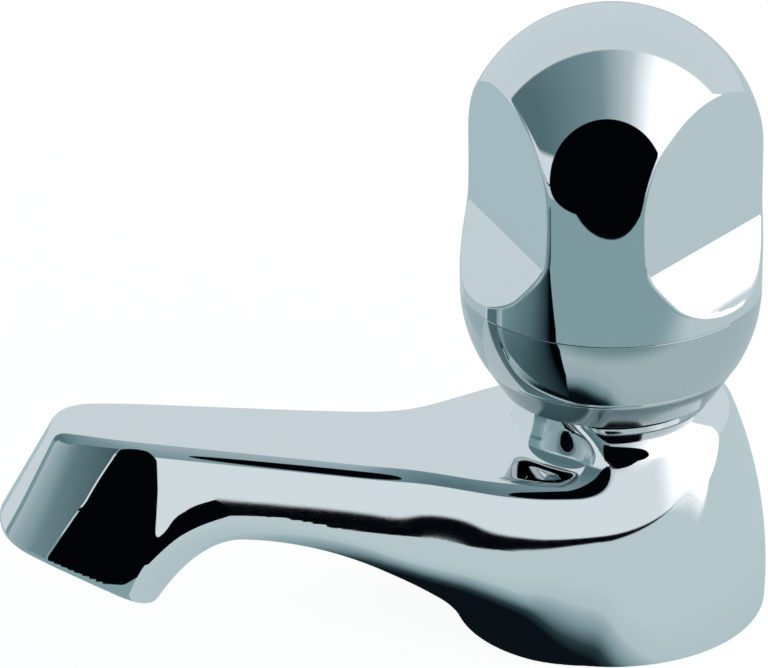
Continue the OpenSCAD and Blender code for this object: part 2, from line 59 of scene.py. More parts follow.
camera.matrix_world = Matrix(((right.x, up.x, -forward.x, EYE.x), (right.y, up.y, -forward.y, EYE.y),
                              (right.z, up.z, -forward.z, EYE.z), (0, 0, 0, 1)))
scene.camera = camera
scene.view_settings.view_transform = "Standard"


# Studio
# A bright tent round a pale table, with cards of black, teal and pale cloth beside the tap.
# Bare chrome shows nothing but what stands round it, so these are what give it its tones, except for the
# knob bowl, whose darker tones are painted shade in its chrome.
def screen(r, g, b):
    """A tone as a screen shows it, 0 to 255, as linear light."""
    return tuple(((c / 255 + 0.055) / 1.055) ** 2.4 if c > 10 else c / 3294 for c in (r, g, b)) + (1,)


class Wire:
    """One output of a node, with the arithmetic that adds Math nodes."""

    def __init__(self, shader, out):
        self.shader, self.out = shader, out

    def _math(self, op, *others):
        return self.shader.node("ShaderNodeMath", {"operation": op}, *others)

    def __add__(self, other):
        return self._math("ADD", self, other)

    def __radd__(self, other):
        return self._math("ADD", other, self)

    def __sub__(self, other):
        return self._math("SUBTRACT", self, other)

    def __rsub__(self, other):
        return self._math("SUBTRACT", other, self)

    def __mul__(self, other):
        return self._math("MULTIPLY", self, other)

    def __rmul__(self, other):
        return self._math("MULTIPLY", other, self)

    def __truediv__(self, other):
        return self._math("DIVIDE", self, other)

    def __rtruediv__(self, other):
        return self._math("DIVIDE", other, self)


class Shader:
    """Adds nodes to one material or world."""

    def __init__(self, owner):
        owner.use_nodes = True
        self.tree = owner.node_tree
        self.tree.nodes.clear()

    def node(self, kind, settings=None, *values, out=0, **named):
        """Adds a node: its settings first, then the values or links of its sockets."""
        n = self.tree.nodes.new(kind)
        for name, value in (settings or {}).items():
            if name == "stops":
                ramp = n.color_ramp
                while len(ramp.elements) < len(value):
                    ramp.elements.new(0.5)
                for stop, (place, colour) in zip(ramp.elements, value):
                    stop.position, stop.color = place, colour
            else:
                setattr(n, name, value)
        for key, value in [*enumerate(values), *named.items()]:
            socket = n.inputs[key.replace("_", " ") if isinstance(key, str) else key]
            if isinstance(value, Wire):
                self.tree.links.new(value.out, socket)
            else:
                socket.default_value = value
        return Wire(self, n.outputs[out]) if n.outputs else None

    def place(self):
        """Where a point lies on its piece, in metres."""
        return self.node("ShaderNodeTexCoord", out="Object")

    def split(self, vector):
        n = self.node("ShaderNodeSeparateXYZ", None, vector).out.node
        return [Wire(self, n.outputs[k]) for k in range(3)]

    def mix(self, amount, a, b):
        """Colour a, turning into colour b as amount goes from 0 to 1."""
        n = self.tree.nodes.new("ShaderNodeMix")
        n.data_type = "RGBA"
        for socket, value in ((n.inputs[0], amount), (n.inputs[6], a), (n.inputs[7], b)):
            if isinstance(value, Wire):
                self.tree.links.new(value.out, socket)
            else:
                socket.default_value = value
        return Wire(self, n.outputs[2])

    def step(self, value, low, high):
        """0 below low and 1 above high, with a soft rise between; low may be the larger."""
        smooth = {"interpolation_type": "SMOOTHSTEP"}
        return self.node("ShaderNodeMapRange", smooth, value, low, high, 0.0, 1.0)

    def limit(self, value, low, high):
        """value, held between low and high."""
        return self.node("ShaderNodeClamp", None, value, low, high)

    def ramp(self, value, *stops):
        return self.node("ShaderNodeValToRGB", {"stops": stops}, value)

    def glow(self, tone, hidden=None):
        """Ends a material as plain light of one tone, and as nothing where hidden is 1."""
        shown = self.node("ShaderNodeEmission", None, tone, 1.0)
        if hidden is not None:
            clear = self.node("ShaderNodeBsdfTransparent", None, (1, 1, 1, 1))
            shown = self.node("ShaderNodeMixShader", None, hidden, shown, clear)
        self.node("ShaderNodeOutputMaterial", None, shown)


def material(name):
    """A new material, and the shader that its nodes go into."""
    made = bpy.data.materials.new(name)
    return made, Shader(made)


TENT_WHITE = (1.25, 1.27, 1.28, 1)
TENT_BACK, TENT_LOW = screen(203, 214, 218), screen(213, 223, 227)
TENT_DIM, TENT_TEAL = screen(118, 147, 153), screen(84, 111, 117)
BENEATH, BEHIND = screen(132, 160, 165), screen(172, 192, 198)
BLACK = screen(2, 4, 8)
# The table's even tone, and the dark tone of the shadow painted on it round the foot
TABLE_LIGHT, PAINTED_SHADOW_DARK = screen(187, 203, 207), screen(10, 18, 23)

world = bpy.data.worlds.new("tent")
scene.world = world
tent = Shader(world)
dx, dy, dz = tent.split(tent.node("ShaderNodeTexCoord", out="Generated"))

# Directions in degrees: turn is 0 towards the camera's side and grows to the right, height is 0 at level
DEG = 180 / math.pi
turn = tent.node("ShaderNodeMath", {"operation": "ARCTAN2"}, dy, dx) * DEG
height = tent.node("ShaderNodeMath", {"operation": "ARCSINE"}, dz) * DEG

# Walls: a roof that runs from teal to white, low walls white at the right and dim at the left, a pale back
front_roof = tent.ramp(dy * 0.5 + 0.5, (0.1, TENT_TEAL), (0.22, screen(100, 127, 133)),
                       (0.43, screen(121, 146, 154)), (0.60, screen(190, 203, 208)),
                       (0.74, (1.2, 1.21, 1.22, 1)))
low_wall = tent.mix(tent.step(turn, 35, 62), TENT_LOW, TENT_WHITE)
low_wall = tent.mix(tent.step(turn, -75, -100), low_wall, TENT_DIM)
front = tent.mix(tent.step(height, 12, 17), low_wall, front_roof)
BACK_DX, FRONT_DX = -0.33, -0.29
walls = tent.mix(tent.step(dx, FRONT_DX, BACK_DX), front, TENT_BACK)

# A black gap under the walls, 1.5 degrees wide at the camera's side, which closes towards the right.
# It sinks to the left and, past its end, to the right, so that the walls reach lower there.
GAP_TOP, GAP_LOW, TOP_RISE, LOW_RISE, GAP_END = 1.8, 3.3, 0.054, 0.083, 52.0
GAP_SINK, LEFT_RISE, GAP_SOFT = 10.0, 0.06, 0.2
ahead = tent.limit(turn, 0.0, GAP_END)
leftwards = tent.limit(turn, -180.0, 0.0)
sunk = tent.step(turn, 60, 85) * GAP_SINK - leftwards * LEFT_RISE
gap_top = ahead * TOP_RISE - sunk - GAP_TOP
gap_low = ahead * LOW_RISE - sunk - GAP_LOW
line = (tent.step(gap_top - height, -GAP_SOFT, GAP_SOFT)
        * tent.step(height - gap_low, -GAP_SOFT, GAP_SOFT))

# Below the gap the chrome sees the floor beyond the table, which blends into the wall at the right
beyond = tent.mix(tent.step(height, -13, -16), TABLE_LIGHT, BENEATH)
beyond = tent.mix(tent.step(dx, -0.1, -0.4), beyond, BEHIND)
blur = tent.step(turn, 40, 75) * 8 + GAP_SOFT
walls = tent.mix(tent.step(gap_low - height, 0 - blur, blur), walls, beyond)
around = tent.mix(line * tent.step(dx, BACK_DX, FRONT_DX), walls, BLACK)
seen = tent.node("ShaderNodeLightPath", out="Is Camera Ray")
lit = tent.mix(seen, around, (1, 1, 1, 1))
tent.node("ShaderNodeOutputWorld", None, tent.node("ShaderNodeBackground", None, lit, 1.0))


def new_piece(name, points, faces, smooth=True):
    """A mesh object whose points are in millimetres."""
    mesh = bpy.data.meshes.new(name)
    mesh.from_pydata((np.asarray(points, float) * MM).tolist(), [], [list(f) for f in faces])
    mesh.polygons.foreach_set("use_smooth", [smooth] * len(mesh.polygons))
    mesh.update()
    piece = bpy.data.objects.new(name, mesh)
    scene.collection.objects.link(piece)
    return piece


def panel(name, corners):
    """A flat part of the studio."""
    return new_piece(name, corners, [tuple(range(len(corners)))], smooth=False)


# The floor is what the camera sees, and the table just under it is what the chrome sees
FLOOR_END, TABLE_FRONT, TABLE_LEFT, TABLE_Z = 900, 127, -77, -0.02
floor = panel("floor", [(-FLOOR_END, -FLOOR_END, 0), (FLOOR_END, -FLOOR_END, 0),
                        (FLOOR_END, FLOOR_END, 0), (-FLOOR_END, FLOOR_END, 0)])
table = panel("table", [(-FLOOR_END, TABLE_LEFT, TABLE_Z), (TABLE_FRONT, TABLE_LEFT, TABLE_Z),
                        (TABLE_FRONT, FLOOR_END, TABLE_Z), (-FLOOR_END, FLOOR_END, TABLE_Z)])

# A shadow is painted on the table, dark round the left half of the foot, and the table fades out towards
# its front edge
SHADOW_R, PALER, PALEST = 38, 16, 30
table_painted_shadow, t = material("table_painted_shadow")
tx, ty = t.split(t.place())[:2]
from_axis = t.node("ShaderNodeVectorMath", {"operation": "LENGTH"}, t.place(), out="Value") * 1000
# How far a point lies past the painted shadow's edge, in millimetres; the painted shadow reaches further at
# the left
painted_shadow_gap = from_axis - SHADOW_R + t.step(ty, -0.024, 0.004) * PALER + t.step(ty, -0.004, 0.014) * PALEST
tone = t.ramp(painted_shadow_gap / 100, (0.02, PAINTED_SHADOW_DARK), (0.06, screen(40, 60, 66)), (0.13, screen(125, 150, 156)),
              (0.25, screen(176, 195, 200)), (0.5, TABLE_LIGHT))
below = t.node("ShaderNodeNewGeometry", out="Backfacing")
t.glow(tone, t.node("ShaderNodeMath", {"operation": "MAXIMUM"}, below, t.step(tx, 0.075, 0.126)))
table.data.materials.append(table_painted_shadow)

# Paper that is white in itself and still takes the tap's shadow, and can't be seen from below
paper, f = material("floor_paper")
bright = f.node("ShaderNodeEmission", None, (1, 1, 1, 1), 0.93)
soft = f.node("ShaderNodeMixShader", None, 0.14, f.node("ShaderNodeBsdfTransparent", None, (0, 0, 0, 1)),
              f.node("ShaderNodeBsdfDiffuse", None, (0.9, 0.9, 0.9, 1)))
lit_paper = f.node("ShaderNodeAddShader", None, bright, soft)
clear = f.node("ShaderNodeBsdfTransparent", None, (1, 1, 1, 1))
from_below = f.node("ShaderNodeNewGeometry", out="Backfacing")
shown = f.node("ShaderNodeMixShader", None, from_below, lit_paper, clear)
f.node("ShaderNodeOutputMaterial", None, shown)
floor.data.materials.append(paper)

# Cards that only the chrome sees. A black one in front of the knob gives its dark disc.
CARD_X, CARD_Y, CARD_Z, CARD_WIDE, CARD_UP, CARD_DOWN = 80, -12, 92, 63, 70, 44.5
LOWER_BEND, CARD_CORNERS = 0.62, 96
card_ring = []
for a in np.linspace(0, 2 * math.pi, CARD_CORNERS, endpoint=False):
    bend = 1.0 if a < math.pi else LOWER_BEND
    across, rise = (math.copysign(abs(part) ** bend, part) for part in (math.cos(a), math.sin(a)))
    tall = CARD_UP if rise > 0 else CARD_DOWN
    card_ring.append((CARD_X, CARD_Y + CARD_WIDE * across, CARD_Z + tall * rise))
card = panel("black_card", card_ring)


def rounded(points):
    """The same open line with its corners cut off three times."""
    for _ in range(3):
        ends = zip(points, points[1:])
        cut = [(a[0] * k + b[0] * (1 - k), a[1] * k + b[1] * (1 - k))
               for a, b in ends for k in (0.75, 0.25)]
        points = [points[0]] + cut[1:-1] + [points[-1]]
    return points


# Beside the nose stand a black card, a pale one that the black one leaves room for, and a teal screen
# that begins half a millimetre to the left of the black card and turns back at its far end.
CARDS_X, SCREEN_GAP, SCREEN_LEFT = 30, 0.5, -112
SCREEN_BACK_X, SCREEN_BACK_Y = 5, -135
nose_edge = rounded([(-99, -3), (-96, 4.5), (-93.1, 11.4), (-90.3, 18), (-87.3, 24.2), (-84.4, 29.5),
                     (-83.3, 32.5), (-82, 51.4)])
side_edge = rounded([(-74.9, 23), (-75.1, 18), (-75.8, 10.3), (-74, 12.7), (-72.1, 17.8), (-69.6, 20.3),
                     (-65.5, 21.7)])
over_nose = rounded([nose_edge[-1], (-79, 62), (-76, 56), (-75.2, 40), side_edge[0]])
under_side = rounded([side_edge[-1], (-62, 20), (-65.3, 15.7), (-68.9, 11.9), (-71.3, 9), (-77, -3)])
nose_ring = nose_edge[:-1] + over_nose + side_edge[1:-1] + under_side
side_ring = side_edge + [(-63.5, 24), (-63.5, 30), (-74.9, 30)]
side_card = panel("side_card", [(CARDS_X, y, z) for y, z in side_ring])
nose_card = panel("nose_card", [(CARDS_X, y, z) for y, z in nose_ring])
screen_low, screen_high = nose_edge[0][1], nose_edge[-1][1]
screen_ring = [(CARDS_X, y - SCREEN_GAP, z) for y, z in nose_edge]
screen_ring += [(CARDS_X, SCREEN_LEFT, screen_high), (CARDS_X, SCREEN_LEFT, screen_low)]
fold = len(screen_ring)
screen_ring += [(SCREEN_BACK_X, SCREEN_BACK_Y, screen_high), (SCREEN_BACK_X, SCREEN_BACK_Y, screen_low)]
nose_screen = new_piece("nose_screen", screen_ring,
                        [tuple(range(fold)), (fold - 1, fold - 2, fold, fold + 1)], smooth=False)

# A level sheet beside the spout shades its side, and lets through what comes from above
SHEET_Z = 33
sheet = panel("side_sheet", [(x, y, SHEET_Z) for x, y in (
    (14, -40), (15, -105), (95, -105), (80, -80), (68.5, -61), (64.6, -54), (59.2, -44.5), (54.5, -39),
    (49.6, -32.2), (31.6, -16.8), (22, -11))])

black_cloth, c = material("dark_cloth")
c.glow(BLACK)
pale_cloth, c = material("pale_cloth")
c.glow(TENT_LOW)

# The teal screen pales from y -83 mm, beside the black card, to y -133 mm
teal_cloth, c = material("teal_cloth")
to_left = c.split(c.place())[1] * -18 - 1.4
c.glow(c.ramp(to_left, (0.1, screen(64, 88, 94)), (0.3, screen(98, 124, 130)),
              (0.6, screen(128, 152, 158)), (1.0, screen(165, 184, 189))))

# The shaded sheet pales with the distance from its slanting edge, counted in tenths of a metre
shaded_cloth, c = material("shaded_cloth")
sx, sy = c.split(c.place())[:2]
inwards = sx * -7.66 - sy * 6.43 + 0.134
c.glow(c.ramp(inwards, (0.02, BLACK), (0.06, screen(40, 60, 66)), (0.2, TENT_TEAL), (0.5, TENT_DIM)),
       c.node("ShaderNodeNewGeometry", out="Backfacing"))
for piece, cloth in ((card, black_cloth), (nose_card, black_cloth), (nose_screen, teal_cloth),
                     (sheet, shaded_cloth), (side_card, pale_cloth)):
    piece.data.materials.append(cloth)
for piece in (table, card, nose_card, nose_screen, sheet, side_card):
    for seen_by in ("visible_camera", "visible_diffuse", "visible_shadow", "visible_transmission"):
        setattr(piece, seen_by, False)
floor.visible_glossy = False


# Body
# One brass casting, polished and chrome plated: a bell on the deck, a flat-topped spout and a neck.
# Its skin is found as the zero of one smooth distance, so that every rounding runs on into the next.

# Bell: its widest radius and how high that lies, and the radius of its side's curve
BELL_R, BELLY_Z, SIDE_R = 25.2, 5.0, 78.0
# Shoulder and neck: where the shoulder cuts the bell off and how it falls outwards, and the neck's size
COLLAR_Z, SHOULDER_LIFT, SHOULDER_FALL, SHOULDER_END = 36.5, 0.6, 0.1, 28
NECK_R, NECK_TOP = 14.5, 40.0
# Flat top: its lowest line and its rise on either side, and the cone and the two walls round the neck
FLAT_Z, FLAT_RISE, ROOT_RISE, VALLEY_L, VALLEY_K = 27.39, 0.085, 0.08, 32.0, 6
ROOT_Z, ROOT_FALL, CONE_K = 29.4, 0.16, 3
ROOT_L, ROOT_TURN = 11.4, math.radians(29)
# Half width of the flat: how it narrows to the nose, and how it flares and curls into the bell
HALF_W, TAPER, WAIST_L = 10.11, 0.067, 38.0
FLARE, FLARE_END, FLARE_K, CURL, CURL_L, CURL_K = 0.507, 31.3, 5, 0.029, 21.1, 4
# Sides of the spout: how they lean out and swell below the flat
DRAFT, SWELL, SWELL_Z, SWELL_LOW, SWELL_K = 0.213, 0.384, 3.14, 15.0, 5
# Widths of the roundings
SHOULDER_K, NECK_K, NOSE_K, UNDER_K, FOOT_K, RIDGE_K, ROOT_K = 3.0, 4.0, 3.0, 6.0, 7.0, 2.2, 5.5
OUTLET_K, BACK_K, BELL_K, LIP_K, DECK_K = 1.2, 0.3, 4.7, 0.4, 0.8
# Arch under the spout: its highest place, a slow bend towards the bell and a tight one towards the nose
ARCH_Z, ARCH_L, ARCH_BEND, NOSE_BEND = 14.1, 58.0, 0.0095, 0.055
# Nose: its lower tip, the lean and bow of its front, the cheeks that close in on it, and the outlet
TIP_L, TIP_Z, FRONT_LEAN, BOW = 98.2, 14.7, math.radians(30), 0.04
CHEEK, CHEEK_L, CHEEK_K = 0.006, 83.0, 2
OUTLET_L, OUTLET_R, OUTLET_TILT = 84.1, 7.0, math.radians(26)


def soft_min(a, b, width):
    """The smaller of two distances, rounded where they cross."""
    h = np.clip(0.5 + 0.5 * (b - a) / width, 0, 1)
    return b + (a - b) * h - width * h * (1 - h)


def soft_max(a, b, width):
    """The larger of two distances, rounded where they cross."""
    return -soft_min(-a, -b, width)


def past(value, width):
    """value where it is well above 0, and nothing where it is well below."""
    return (value + np.sqrt(value * value + width * width)) / 2


def ease(value, low, high):
    """0 below low and 1 above high, with a soft rise between."""
    t = np.clip((value - low) / (high - low), 0, 1)
    return t * t * (3 - 2 * t)


def flat_height(reach, r):
    """The spout's flat top, which rises a little towards the nose, and as a shallow cone round the neck."""
    rise = FLAT_RISE * past(reach - VALLEY_L, VALLEY_K) + ROOT_RISE * past(VALLEY_L - reach, VALLEY_K)
    return soft_max(FLAT_Z + rise, ROOT_Z - ROOT_FALL * (r - NECK_R), CONE_K)


def flat_half_width(reach):
    """Tapers towards the nose, and flares into the bell, which it meets on a tangent and curls into."""
    straight = HALF_W - TAPER * (reach - WAIST_L)
    return straight + FLARE * past(FLARE_END - reach, FLARE_K) - CURL * past(CURL_L - reach, CURL_K) ** 2


def arch_height(reach):
    """The arch's height, and how much longer its slope is than level."""
    bend = np.where(reach < ARCH_L, ARCH_BEND, NOSE_BEND)
    return ARCH_Z - bend * (reach - ARCH_L) ** 2, np.sqrt(1 + (2 * bend * (reach - ARCH_L)) ** 2)


def body_distance(p):
    """How far points lie outside the casting's skin, or less than 0 inside it."""
    x, reach, z = p[..., 0], -p[..., 1], p[..., 2]
    r = np.hypot(x, reach)
    belly = BELL_R - SIDE_R + np.sqrt(SIDE_R ** 2 - np.clip(z - BELLY_Z, -12, 60) ** 2)

    # The spout's sides lean and swell out below the flat, and close in on the nose
    top = flat_height(reach, r)
    drop = soft_min(np.clip(top - z, -2, 40), SWELL_LOW, SWELL_K)
    swell = DRAFT * drop + SWELL * (1 - np.exp(-drop / SWELL_Z))
    half = flat_half_width(reach)
    widening = (flat_half_width(reach + 0.05) - half) / 0.05
    spread = 1 / np.sqrt(1 + widening ** 2)
    along_nose = reach + (z - TIP_Z) * math.tan(FRONT_LEAN)
    cheek = CHEEK * past(along_nose - CHEEK_L, CHEEK_K) ** 2
    sides = ((np.abs(x) - half) * spread - swell + cheek) * 0.95

    # The front, the arch and the outlet's plane cut the spout off
    arch, slope = arch_height(reach)
    under = (arch - z) / slope
    front = (along_nose - TIP_L + BOW * x * x) * math.cos(FRONT_LEAN)
    outlet = (reach - TIP_L) * math.sin(OUTLET_TILT) - (z - TIP_Z) * math.cos(OUTLET_TILT)
    arm = soft_max(soft_max(sides, front, NOSE_K), under, UNDER_K + FOOT_K * ease(-reach, -36, -14))
    arm = soft_max(soft_max(arm, outlet, OUTLET_K), -reach, 1)

    # Bell and spout run together under the shoulder, and the flat top ends at two walls before the neck
    whole = soft_min(r - belly, arm, BACK_K + BELL_K * ease(reach, -12, 13))
    shoulder = z - COLLAR_Z - SHOULDER_LIFT + SHOULDER_FALL * (np.minimum(r, SHOULDER_END) - NECK_R)
    whole = soft_max(whole, shoulder, SHOULDER_K)
    wall = reach * math.cos(ROOT_TURN) + np.abs(x) * math.sin(ROOT_TURN) - ROOT_L
    whole = soft_max(whole, soft_min(z - top, wall, ROOT_K), RIDGE_K)
    neck = soft_max(r - NECK_R, z - NECK_TOP, LIP_K)
    return soft_max(soft_min(whole, neck, NECK_K), -z, DECK_K)


def slope_of(distance, points, apart=0.02):
    """Unit normals and steepness of a distance at some points."""
    g = np.stack([(distance(points + step) - distance(points - step)) / (2 * apart)
                  for step in np.eye(3) * apart], axis=-1)
    size = np.linalg.norm(g, axis=-1, keepdims=True)
    return g / size, size[..., 0]


def skin(distance, low, high, pitch):
    """Points and four-sided faces of a closed skin where a distance is zero, on a grid of this pitch."""
    axes = [np.arange(a, b + pitch, pitch) for a, b in zip(low, high)]
    size = [len(a) for a in axes]
    value = np.empty(size)
    for i, x in enumerate(axes[0]):
        y, z = np.meshgrid(axes[1], axes[2], indexing="ij")
        value[i] = distance(np.stack([np.full_like(y, x), y, z], axis=-1))
    inside = value < 0
    total, count = np.zeros([s - 1 for s in size] + [3]), np.zeros([s - 1 for s in size])
    crossings = []
    for axis in range(3):
        a = [slice(None)] * 3
        b = [slice(None)] * 3
        a[axis], b[axis] = slice(0, -1), slice(1, None)
        crossed = inside[tuple(a)] != inside[tuple(b)]
        at = np.argwhere(crossed)
        other = [k for k in range(3) if k != axis]
        at = at[np.all([(at[:, k] > 0) & (at[:, k] < size[k] - 1) for k in other], axis=0)]
        near_value = value[tuple(at.T)]
        ahead = at.copy()
        ahead[:, axis] += 1
        place = at.astype(float)
        place[:, axis] += near_value / (near_value - value[tuple(ahead.T)])
        around = []
        for du, dv in ((1, 1), (0, 1), (0, 0), (1, 0)):
            cell = at.copy()
            cell[:, other[0]] -= du
            cell[:, other[1]] -= dv
            np.add.at(total, tuple(cell.T), place)
            np.add.at(count, tuple(cell.T), 1)
            around.append(cell)
        crossings.append((np.stack(around, axis=1), near_value < 0, axis))
    used = count > 0
    number = np.full(count.shape, -1)
    number[used] = np.arange(used.sum())
    points = total[used] / count[used][:, None] * pitch + np.array([a[0] for a in axes])
    faces = []
    for cells, outwards, axis in crossings:
        quad = number[cells[..., 0], cells[..., 1], cells[..., 2]]
        turned = outwards if axis != 1 else ~outwards
        quad[~turned] = quad[~turned][:, ::-1]
        faces.append(quad)
    return points, np.concatenate(faces)


def settle(distance, points, faces, rounds=3):
    """Evens out a skin's points along itself and puts each exactly on the zero."""
    edges = np.concatenate([faces[:, [0, 1]], faces[:, [1, 2]], faces[:, [2, 3]], faces[:, [3, 0]]])
    ends = np.bincount(edges.ravel(), minlength=len(points))[:, None]
    for k in range(rounds + 1):
        if k < rounds:
            mean = np.zeros_like(points)
            for axis in range(3):
                mean[:, axis] = (np.bincount(edges[:, 0], points[edges[:, 1], axis], len(points))
                                 + np.bincount(edges[:, 1], points[edges[:, 0], axis], len(points)))
            points = points + 0.5 * (mean / ends - points)
        for _ in range(3):
            way, steep = slope_of(distance, points)
            points = points - way * (distance(points) / steep)[:, None]
    return points


def shine(piece, distance, tolerance=0.03):
    """Gives a piece's faces the true normals of its skin, and leaves cut faces flat."""
    mesh = piece.data
    co = np.empty(len(mesh.vertices) * 3)
    mesh.vertices.foreach_get("co", co)
    co = co.reshape(-1, 3) / MM
    corner = np.empty(len(mesh.loops), int)
    mesh.loops.foreach_get("vertex_index", corner)
    flat = np.empty(len(mesh.polygons) * 3)
    mesh.polygons.foreach_get("normal", flat)
    counts = np.empty(len(mesh.polygons), int)
    mesh.polygons.foreach_get("loop_total", counts)
    flat = np.repeat(flat.reshape(-1, 3), counts, axis=0)
    way, steep = slope_of(distance, co)
    on_skin = np.abs(distance(co) / steep) < tolerance
    use = on_skin[corner] & ((way[corner] * flat).sum(1) > 0.3)
    mesh.normals_split_custom_set(np.where(use[:, None], way[corner], flat).tolist())


def lathe(name, outline, columns=128, relief=None):
    """A closed turned shape from an outline of (radius, height) that comes back to its start.
    relief, rows by columns, is added to the radius, for a thread or flats."""
    ring = np.asarray(outline, float)
    radius = np.repeat(ring[:, :1], columns, axis=1)
    if relief is not None:
        radius = radius + relief
    turn_by = np.linspace(0, 2 * math.pi, columns, endpoint=False)
    points = np.stack([radius * np.cos(turn_by), radius * np.sin(turn_by),
                       np.repeat(ring[:, 1:2], columns, axis=1)], axis=-1)
    rows = len(ring)
    index = np.arange(rows * columns).reshape(rows, columns)
    above_it = np.roll(index, -1, axis=0)
    faces = np.stack([index, np.roll(index, -1, axis=1), np.roll(above_it, -1, axis=1), above_it], axis=-1)
    return new_piece(name, points.reshape(-1, 3), faces.reshape(-1, 4))


def cut_away(piece, *cutters):
    """Takes closed cutters out of a closed piece and deletes them."""
    for cutter in cutters:
        cut = piece.modifiers.new("cut", "BOOLEAN")
        cut.operation, cut.solver, cut.object = "DIFFERENCE", "MANIFOLD", cutter
    graph = bpy.context.evaluated_depsgraph_get()
    made = bpy.data.meshes.new_from_object(piece.evaluated_get(graph))
    piece.modifiers.clear()
    made.materials.clear()
    piece.data = made
    for cutter in cutters:
        bpy.data.objects.remove(cutter)


def chrome(name, tint, haze):
    """Polished chrome: a mirror, with the faintest haze and the slow waviness of a buffed casting."""
    made, s = material(name)
    at = s.place()
    buffed = s.node("ShaderNodeTexNoise", None, at, Scale=900.0, Detail=2.0)
    wave = s.node("ShaderNodeTexNoise", None, at, Scale=70.0, Detail=1.0)
    bump = s.node("ShaderNodeBump", None, Strength=0.0015, Distance=0.001, Height=wave)
    colour = s.mix(buffed * 0.12, tint, (1, 1, 1, 1))
    shell = s.node("ShaderNodeBsdfPrincipled", None, Base_Color=colour, Metallic=1.0,
                   Roughness=haze + 0.02 * buffed, Normal=bump)
    s.node("ShaderNodeOutputMaterial", None, shell)
    return made


SKIN_LOW, SKIN_HIGH, SKIN_PITCH = (-27, -100, -1.2), (27, 27, 42), 0.5
body_points, body_faces = skin(body_distance, SKIN_LOW, SKIN_HIGH, SKIN_PITCH)
body_points = settle(body_distance, body_points, body_faces)
body = new_piece("body_casting", body_points, body_faces)

# The hole for the tail, the seat, the chamber over it and the headwork's hole, all on the axis
AXIS, BELOW, HOLE_R, SEAT_R, CHAMBER_R = 0.01, -3, 10.53, 6.5, 10
SEAT_LOW, CHAMBER_LOW, CHAMBER_TOP, HEAD_TOP = 8, 20, 22, 43
tail_hole = lathe("tail_hole", [(AXIS, BELOW), (HOLE_R, BELOW), (HOLE_R, SEAT_LOW), (SEAT_R, SEAT_LOW),
                                (SEAT_R, CHAMBER_LOW), (CHAMBER_R, CHAMBER_LOW), (CHAMBER_R, CHAMBER_TOP),
                                (HOLE_R, CHAMBER_TOP), (HOLE_R, HEAD_TOP), (AXIS, HEAD_TOP)], 96)
POCKET_IN, POCKET_OUT, POCKET_TOP, OUTLET_DEEP = 13.28, 17.6, 9, 9
base_pocket = lathe("base_pocket", [(POCKET_IN, BELOW), (POCKET_OUT, BELOW), (POCKET_OUT, POCKET_TOP),
                                    (POCKET_IN, POCKET_TOP)], 96)
outlet_hole = lathe("outlet_hole", [(AXIS, -6), (OUTLET_R, -6), (OUTLET_R, OUTLET_DEEP),
                                    (AXIS, OUTLET_DEEP)], 96)
outlet_z = TIP_Z - (TIP_L - OUTLET_L) * math.tan(OUTLET_TILT)
outlet_hole.data.transform(Matrix.Translation(Vector((0, -OUTLET_L, outlet_z)) * MM)
                           @ Matrix.Rotation(-OUTLET_TILT, 4, "X"))
cut_away(body, tail_hole, base_pocket, outlet_hole)
shine(body, body_distance)
body_chrome = chrome("body_chrome", (0.93, 0.945, 0.95, 1), 0.012)
body.data.materials.append(body_chrome)
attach(body, "tap_body")
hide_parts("body")


# Knob shell
# The capsule-shaped cap that the hand turns, moulded and chrome plated, with three upright finger facets.
# It snaps over a wire ring in the hub's groove.
KNOB_R, SEAM_Z, DOME_Z, SEAM_IN, SEAM_GAP = 23.6, 55.0, 76.8, 0.08, 0.03
FACET_U, HOLLOW_R, FACET_Z = 17.6, 100.0, 74.0
SCOOP_TOP, SCOOP_END, FACET_TURN = 66.5, 57.0, math.radians(52.5)
KNOB_WALL, EDGE_IN, EDGE_UP = 2.2, 2.1, 1.9


def knob_distance(p):
    """How far points lie outside the knob's skin, a capsule with three hollow facets cut out of it."""
    x, y, z = p[..., 0], p[..., 1], p[..., 2]
    d = np.sqrt(x * x + y * y + np.maximum(0, z - DOME_Z) ** 2) - KNOB_R
    hollow = FACET_U + HOLLOW_R - np.sqrt(HOLLOW_R ** 2 - np.clip(z - FACET_Z, -60, 60) ** 2)
    scoop_u = FACET_U + HOLLOW_R - math.sqrt(HOLLOW_R ** 2 - (FACET_Z - SCOOP_TOP) ** 2)
    bend_u, bend_z = KNOB_R - EDGE_IN, SCOOP_END + EDGE_UP
    ramp = scoop_u + (SCOOP_TOP - z) * (bend_u - scoop_u) / (SCOOP_TOP - bend_z)
    ramp = soft_max(ramp, bend_u + (bend_z - z) * EDGE_IN / EDGE_UP, 1.2)
    facet = soft_max(hollow, ramp, 0.8)
    for k in range(3):
        a = FACET_TURN + k * 2 * math.pi / 3
        d = soft_max(d, (x * math.cos(a) + y * math.sin(a) - facet) * 0.93, 0.45)
    return d


def along(spans):
    """Rows between stated heights or angles, each span with its own count."""
    rows = [np.linspace(a, b, n, endpoint=False) for a, b, n in spans]
    return np.concatenate(rows + [[spans[-1][1]]])


def radial_skin(distance, origin_z, tilt, turn_by):
    """The outward distance to a skin from points on the axis."""
    out = np.stack([np.cos(tilt)[:, None] * np.cos(turn_by), np.cos(tilt)[:, None] * np.sin(turn_by),
                    np.repeat(np.sin(tilt)[:, None], len(turn_by), axis=1)], axis=-1)
    start = np.zeros_like(out)
    start[..., 2] = origin_z[:, None]
    low, high = np.full(out.shape[:2], 5.0), np.full(out.shape[:2], 30.0)
    for _ in range(34):
        mid = (low + high) / 2
        outside = distance(start + out * mid[..., None]) > 0
        low, high = np.where(outside, low, mid), np.where(outside, mid, high)
    return start, out, (low + high) / 2


